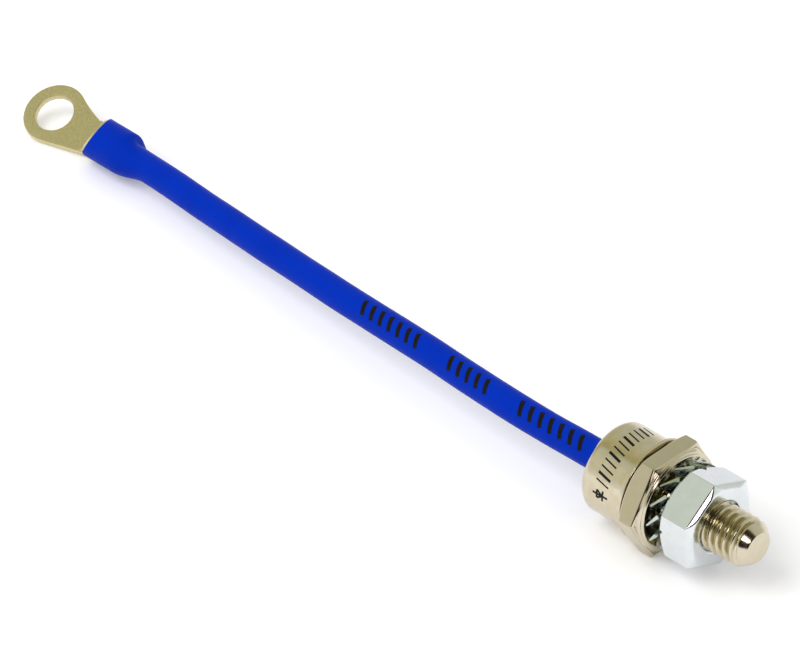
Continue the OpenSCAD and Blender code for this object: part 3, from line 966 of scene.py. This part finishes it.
class STUDDIODE_OT_base(bpy.types.Operator):
    """Makes the hexagonal base with its threaded stud"""

    bl_idname = "stud_diode.base"
    bl_label = "Base and stud"

    pedestal_r = 5.2 * MM
    run_out, relief, tip_edge = 0.5 * MM, 0.3 * MM, 0.3 * MM
    tip_bow = 1.2
    edge_ease = 0.18 * MM
    samples_per_turn = 16
    # The front edge of the flats lies this far behind the seat
    edge_back = 0.95 * MM

    def execute(self, context):
        mesh = grid_mesh(self.rows(), wrap_rows=True)
        self.add_root_shade_and_flat_tint(mesh)
        material = nickel_plating("nickel plated turned copper", 0.12, 0.13, "#D4C8AA")
        place_piece("plated_base", mesh, material, "nickel_on_copper", "base_stud")
        return {"FINISHED"}

    def nose(self, x):
        """Radius of the stud's bowed tip."""
        size = sizes()
        share = min(1.0, (BASE_HIGH.x - x) / size.tip_length)
        return size.tip_radius + (STUD_R - size.tip_radius) * (1 - (1 - share) ** self.tip_bow)

    def stud(self, angle):
        """Profile of the stud at that angle, from the tip to where the thread runs out."""
        tip, tip_edge = BASE_HIGH.x, self.tip_edge
        profile = rounded([(0, tip), (self.nose(tip), tip), (self.nose(tip - tip_edge), tip - tip_edge)],
                          sizes().edge_round)
        samples = int((tip - self.run_out) / sizes().thread_pitch * self.samples_per_turn)
        for t in shares(samples)[1:]:
            x = tip - tip_edge - (tip - tip_edge - self.run_out) * t
            profile.append(Vector((min(thread_radius(x, angle), self.nose(x)), x)))
        return profile

    def rows(self):
        """Profiles of the whole base, one for each of the hexagon's columns."""
        half, back = BASE_HIGH.z, CASE_HIGH.x
        neck_r = STUD_R - sizes().thread_depth
        seat_r, back_r = half - 0.55 * MM, half - 0.15 * MM
        # The back is bevelled along the flats, most on the upper one, for a dark crescent beside the flange
        groove_long, groove_deep, groove_foot = 0.85 * MM, 0.85 * MM, half - 1.2 * MM
        groove_at, groove_span, groove_least = math.radians(92), math.radians(44), 0.3
        # Beside the seat the front steps back to a ledge and a rim, and falls to the flats' straight edge
        ledge_in, ledge_out, ledge = half - 0.4 * MM, half - 0.22 * MM, 0.32 * MM
        rim_r, rim_back = half - 0.2 * MM, 0.72 * MM
        # In the corners ledge and rim reach further out, and a turned groove lies between rim and edge
        ledge_more, rim_more = 0.1 * MM, 0.3 * MM
        turned_out, turned_half, turned_deep, turned_lip = 0.32 * MM, 0.14 * MM, 0.3 * MM, 0.05 * MM
        # The front edge of the flats is broken by a narrow bevel
        bevel_in, bevel_back = 0.14 * MM, self.edge_back + 0.22 * MM
        columns = hexagon_columns(half, sizes().corner_round, math.radians(90))
        corner_r = max(radius for angle, radius in columns)
        rows = []
        for angle, radius in columns:
            corner = (radius - half) / (corner_r - half)
            drop = (radius - back_r) * CHAMFER_SLOPE
            aside = abs(math.remainder(angle - groove_at, math.tau))
            groove = groove_least + (1 - groove_least) * smooth_step(1 - aside / groove_span)
            rim = rim_r + corner * rim_more
            turned_r = rim + corner * turned_out
            row = self.stud(angle)
            row += rounded([
                (row[-1].x, self.run_out), (neck_r, self.relief), (neck_r, 0), (seat_r, 0),
                (ledge_in, -ledge), (ledge_out + corner * ledge_more, -ledge), (rim, -rim_back),
                (turned_r - corner * turned_half, -rim_back), (turned_r, -rim_back - corner * turned_deep),
                (turned_r + corner * turned_half, -rim_back - corner * turned_lip),
                (radius - bevel_in, -self.edge_back), (radius, -bevel_back),
                (radius, back + groove * groove_long + drop), (radius - groove * groove_deep, back + drop),
                (groove_foot, back), (self.pedestal_r, back), (self.pedestal_r, BASE_LOW.x),
                (0, BASE_LOW.x)], self.edge_ease)[1:]
            rows.append([about_axis(r, x, angle) for r, x in row])
        return rows

    def add_root_shade_and_flat_tint(self, mesh):
        """Notes the painted shade in the thread, by depth, and an even darker tint on the hexagon's flats."""
        flat_tint = 0.27
        dull = mesh.attributes.new("dull", "FLOAT", "POINT")
        for vertex in mesh.vertices:
            x, y, z = vertex.co
            if 0 < x < BASE_HIGH.x - sizes().tip_length:
                # Painted shade: the deeper in the thread, the darker
                depth = (STUD_R - math.hypot(y, z)) / sizes().thread_depth
                dull.data[vertex.index].value = max(0.0, depth)
            elif CASE_HIGH.x < x < -self.edge_back:
                # An even darker tint over the hexagon
                dull.data[vertex.index].value = flat_tint


class STUDDIODE_OT_case(bpy.types.Operator):
    """Makes the case with its weld flange and marks, and the glass seal"""

    bl_idname = "stud_diode.case"
    bl_label = "Case and seal"

    wall = 0.6 * MM
    flange = 0.9 * MM
    flange_thickness = 0.7 * MM
    back_round = 1.2 * MM
    outer_ease, inner_ease = 0.14 * MM, 0.12 * MM
    seal_gap = 0.05 * MM
    seal_sag = 0.18 * MM

    def execute(self, context):
        self.case()
        self.seal()
        self.marks()
        return {"FINISHED"}

    def case(self):
        front, back, rim_r, wall = CASE_HIGH.x, CASE_LOW.x, CASE_HIGH.z, self.wall
        case_r = rim_r - self.flange
        mouth_r = SEAL_HIGH.z + self.seal_gap
        ledge = front - self.flange_thickness
        turn = [Vector((case_r - inset, back + drop)) for drop, inset in quarter(self.back_round, 10)]
        skin = rounded([(case_r - wall, front), (rim_r, front), (rim_r, ledge), (case_r, ledge), turn[0]],
                       self.outer_ease)
        inside = rounded([
            turn[-1], (mouth_r, back), (mouth_r, SEAL_HIGH.x), (mouth_r + wall, SEAL_HIGH.x),
            (mouth_r + wall, back + wall), (case_r - wall, back + wall), (case_r - wall, front)],
            self.inner_ease)
        mesh = turned_mesh([*skin[:-1], *turn[:-1], *inside[:-1]], sides=160)
        material = nickel_plating("nickel plated drawn steel", 0.3, 0.17, "#C9BC94")
        place_piece("plated_case", mesh, material, "nickel_on_steel", "case_cap")

    def seal(self):
        """The glass creeps up the tube and the case as it sets, so its faces are hollow."""
        inner, outer = TUBE_OUT_R + self.seal_gap, SEAL_HIGH.z
        face = [(inner + (outer - inner) * t, 4 * self.seal_sag * t * (1 - t)) for t in shares(12)]
        profile = [(r, SEAL_LOW.x + d) for r, d in face] + [(r, SEAL_HIGH.x - d) for r, d in reversed(face)]
        place_piece("glass_ring", turned_mesh(profile, sides=96), seal_glass(), "seal_glass", "glass_seal")

    def marks(self):
        """A diode sign and a row of slanted bars, stamped around the case."""
        radius = CASE_HIGH.z - self.flange
        middle = (CASE_LOW.x + CASE_HIGH.x) / 2 - 0.2 * MM
        width, sign_weight, thick_weight = 0.26 * MM, 1.4, 1.7
        # The diode sign, its bar towards the stud: (around, along) in units
        unit, sign_at = 1.2 * MM, math.radians(176) * radius
        sign = (((0, -1.3), (0, 1.2)), ((-0.75, 0.35), (0.75, 0.35)), ((-0.6, -0.6), (0, 0.3)),
                ((0.6, -0.6), (0, 0.3)), ((-0.6, -0.6), (0.6, -0.6)))
        strokes = []
        for ends in sign:
            start, end = ((sign_at + around * unit, middle + along * unit) for around, along in ends)
            strokes.append((start, end, sign_weight))
        # Slanted bars, thin and thick in turn
        bar, slant, first, pitch = 2.6 * MM, 0.6 * MM, 160, 8.6
        for k in range(12):
            around = math.radians(first - pitch * k) * radius
            strokes.append(((around - slant / 2, middle - bar / 2), (around + slant / 2, middle + bar / 2),
                            thick_weight if k % 3 == 1 else 1))

        def place(around, x, height):
            return about_axis(radius + height, x, around / radius)

        place_piece("case_marks", ink_mesh(strokes, place, width), marking_ink(), "nickel_on_steel",
                    even=False)


class STUDDIODE_OT_washer(bpy.types.Operator):
    """Makes the toothed lock washer: a flat ring with twisted teeth set around it by a node tree"""

    bl_idname = "stud_diode.washer"
    bl_label = "Lock washer"

    bore_gap = 0.2 * MM
    thickness = 0.8 * MM
    tip_thickness = 0.6 * MM
    ring_width = 1.3 * MM
    root_width = 1.7 * MM
    tip_width = 3.2 * MM
    root_sink = 0.4 * MM
    tip_r = 7.5 * MM
    wedge = 1.25
    ring_edge, tooth_edge = 0.08 * MM, 0.1 * MM
    first_tooth = math.radians(4)

    def execute(self, context):
        material = washer_zinc()
        bore = STUD_R + self.bore_gap
        rim = bore + self.ring_width
        middle = (WASHER_LOW.x + WASHER_HIGH.x) / 2
        low, high = middle - self.thickness / 2, middle + self.thickness / 2
        profile = rounded_loop([(bore, low), (rim, low), (rim, high), (bore, high)], self.ring_edge)
        carrier = linked("washer_ring", turned_mesh(profile, sides=112), material)
        tooth = linked("washer_tooth", self.tooth(rim - self.root_sink, middle), material)
        inputs = {"Tooth": tooth, "Count": sizes().tooth_count, "First Angle": self.first_tooth,
                  "Material": material}
        mesh = grown_mesh(carrier, self.tooth_tree(), inputs)
        bpy.data.objects.remove(tooth)
        place_piece("toothed_washer", mesh, material, "zinc_on_spring_steel", "lock_washer")
        return {"FINISHED"}

    def tooth(self, root_r, middle):
        """One blade that widens and twists from the ring to its tip, pointing along +Z.

        Shearing leaves it a wedge: its edge towards the base gets thinner to the tip.
        """
        edge = self.tooth_edge
        rows = []
        for s in shares(10):
            radius = root_r + (self.tip_r - root_r) * s
            twist = sizes().tooth_twist * s
            half = (self.root_width + (self.tip_width - self.root_width) * s) / 2
            thick = (self.thickness + (self.tip_thickness - self.thickness) * s) / 2
            row = []
            for u, v in ((-1, -1), (1, -1), (1, 1), (-1, 1)):
                thin = thick * (1 - self.wedge * s) if u < 0 < v else thick
                for inset_w, inset_t in ((0, edge), (edge, 0)) if u * v > 0 else ((edge, 0), (0, edge)):
                    w, t = u * (half - inset_w), v * (thin - inset_t)
                    row.append(Vector((middle + t * math.cos(twist) + w * math.sin(twist),
                                       w * math.cos(twist) - t * math.sin(twist), radius)))
            rows.append(row)
        return grid_mesh(rows, wrap_columns=True, cap_ends=True)

    def tooth_tree(self):
        """Node tree: one tooth set around the stud's axis a number of times and joined to the ring."""
        tree, given = new_tree("Washer teeth", {
            "Ring": "Geometry", "Tooth": "Object", "Count": "Int", "First Angle": "Float",
            "Material": "Material"})
        spots = add(tree, "GeometryNodeMeshLine", {"Count": given["Count"], "Offset": (0, 0, 0)})
        tooth = add(tree, "GeometryNodeObjectInfo", {"Object": given["Tooth"]}).outputs["Geometry"]
        index = add(tree, "GeometryNodeInputIndex")
        share = add(tree, "ShaderNodeMath", {0: index, 1: given["Count"]}, operation="DIVIDE")
        turn = add(tree, "ShaderNodeMath", {0: share, 1: math.tau, 2: given["First Angle"]},
                   operation="MULTIPLY_ADD")
        angle = add(tree, "ShaderNodeCombineXYZ", {"X": turn})
        placed = add(tree, "GeometryNodeInstanceOnPoints", {
            "Points": spots, "Instance": tooth, "Rotation": angle})
        whole = add(tree, "GeometryNodeJoinGeometry", {"Geometry": [given["Ring"], placed]})
        return close_tree(tree, whole, given["Material"])


class STUDDIODE_OT_nut(bpy.types.Operator):
    """Makes the hexagon nut with its inner thread"""

    bl_idname = "stud_diode.nut"
    bl_label = "Hexagon nut"

    face_inset = 0.3 * MM
    thread_gap = 0.06 * MM
    countersink = 0.45 * MM
    mouth_lip = 0.2 * MM
    corner = 0.15 * MM
    edge = 0.28 * MM
    bevel_steepness = 1 / math.tan(math.radians(38))
    # Least widths of the bevel beside the flat and of the step before it
    least_bevel, least_step = 0.02 * MM, 0.4 * MM
    samples_per_turn = 14

    def execute(self, context):
        size = sizes()
        front, back, lip = NUT_HIGH.x, NUT_LOW.x, self.mouth_lip
        half = size.nut_flats / 2
        face_r = half - self.face_inset
        columns = hexagon_columns(half, self.corner, math.radians(60) + size.nut_turn)
        corner_drop = (max(radius for angle, radius in columns) - face_r) * CHAMFER_SLOPE
        steep = self.bevel_steepness
        mouth_r = STUD_R + self.countersink
        samples = int((front - back) / size.thread_pitch * self.samples_per_turn)
        rows = []
        for angle, radius in columns:
            drop = (radius - face_r) * CHAMFER_SLOPE
            # Each flat ends in a straight bevel, which the face or the turned cone cuts off
            lean = half / radius
            meet, fall = (half - corner_drop / steep) / lean, 0.0
            if meet > face_r:
                meet = (half * steep - corner_drop - face_r * CHAMFER_SLOPE) / (lean * steep - CHAMFER_SLOPE)
                meet = min(max(meet, face_r), radius - self.least_bevel)
                fall = (meet - face_r) * CHAMFER_SLOPE
            flat_r = min(face_r, meet - self.least_step)
            row = rounded([(mouth_r - lip, front - lip), (mouth_r, front), (flat_r, front),
                           (meet, front - fall), (radius, front - corner_drop), (radius, back + drop),
                           (face_r, back), (mouth_r, back), (mouth_r - lip, back + lip)], self.edge)
            for t in shares(samples)[1:-1]:
                x = back + (front - back) * t
                cone = mouth_r - min(x - back, front - x)
                row.append(Vector((max(thread_radius(x, angle) + self.thread_gap, cone), x)))
            rows.append([about_axis(r, x, angle) for r, x in row])
        mesh = grid_mesh(rows, wrap_rows=True, wrap_columns=True)
        place_piece("plated_nut", mesh, zinc_plating(), "zinc_on_steel", "hex_nut")
        return {"FINISHED"}


class STUDDIODE_OT_inside(bpy.types.Operator):
    """Gives the solids inside the case their finishes"""

    bl_idname = "stud_diode.inside"
    bl_label = "Pieces inside the case"

    def execute(self, context):
        molybdenum = lapped_metal("lapped molybdenum", "#A3A5A8", "#8A8C90", 0.32)
        for node, material in (
                ("lead_tube", nickel_plating("nickel plated tube", 0.2, 0.22, "#C9BC94")),
                ("lower_disc", molybdenum), ("upper_disc", molybdenum),
                ("silicon_die", lapped_metal("etched silicon", "#5B5F68", "#474A52", 0.18)),
                ("junction_coating", silicone()), ("contact_cup", bare_copper("bare turned copper", 0.26)),
                ("inner_lead", bare_copper("braided copper rope", 0.36))):
            solid = frame["nodes"][node]
            solid.data.materials.clear()
            solid.data.materials.append(material)
        return {"FINISHED"}


class STUDDIODE_PT_panel(bpy.types.Panel):
    """Lists the pieces and their settings"""

    bl_idname = "STUDDIODE_PT_panel"
    bl_label = "Stud Diode"
    bl_space_type = "VIEW_3D"
    bl_region_type = "UI"
    bl_category = "Stud Diode"

    def draw(self, context):
        for operator in OPERATORS:
            self.layout.operator(operator.bl_idname)
        for group in (context.scene.stud_diode_sizes, context.scene.stud_diode_colours):
            box = self.layout.box()
            for name in group.bl_rna.properties.keys():
                if name not in ("rna_type", "name"):
                    box.prop(group, name)


OPERATORS = (
    STUDDIODE_OT_stage, STUDDIODE_OT_terminal, STUDDIODE_OT_lead, STUDDIODE_OT_base, STUDDIODE_OT_case,
    STUDDIODE_OT_washer, STUDDIODE_OT_nut, STUDDIODE_OT_inside,
)
CLASSES = (StudDiodeSizes, StudDiodeColours, *OPERATORS, STUDDIODE_PT_panel)


def register():
    for item in CLASSES:
        bpy.utils.register_class(item)
    bpy.types.Scene.stud_diode_sizes = PointerProperty(type=StudDiodeSizes)
    bpy.types.Scene.stud_diode_colours = PointerProperty(type=StudDiodeColours)


def unregister():
    del bpy.types.Scene.stud_diode_sizes
    del bpy.types.Scene.stud_diode_colours
    for item in reversed(CLASSES):
        bpy.utils.unregister_class(item)


def main():
    """Registers the classes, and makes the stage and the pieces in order."""
    register()
    bpy.ops.stud_diode.stage()
    bpy.ops.stud_diode.terminal()
    bpy.ops.stud_diode.lead()
    bpy.ops.stud_diode.base()
    bpy.ops.stud_diode.case()
    bpy.ops.stud_diode.washer()
    bpy.ops.stud_diode.nut()
    bpy.ops.stud_diode.inside()


if __name__ == "__main__":
    main()
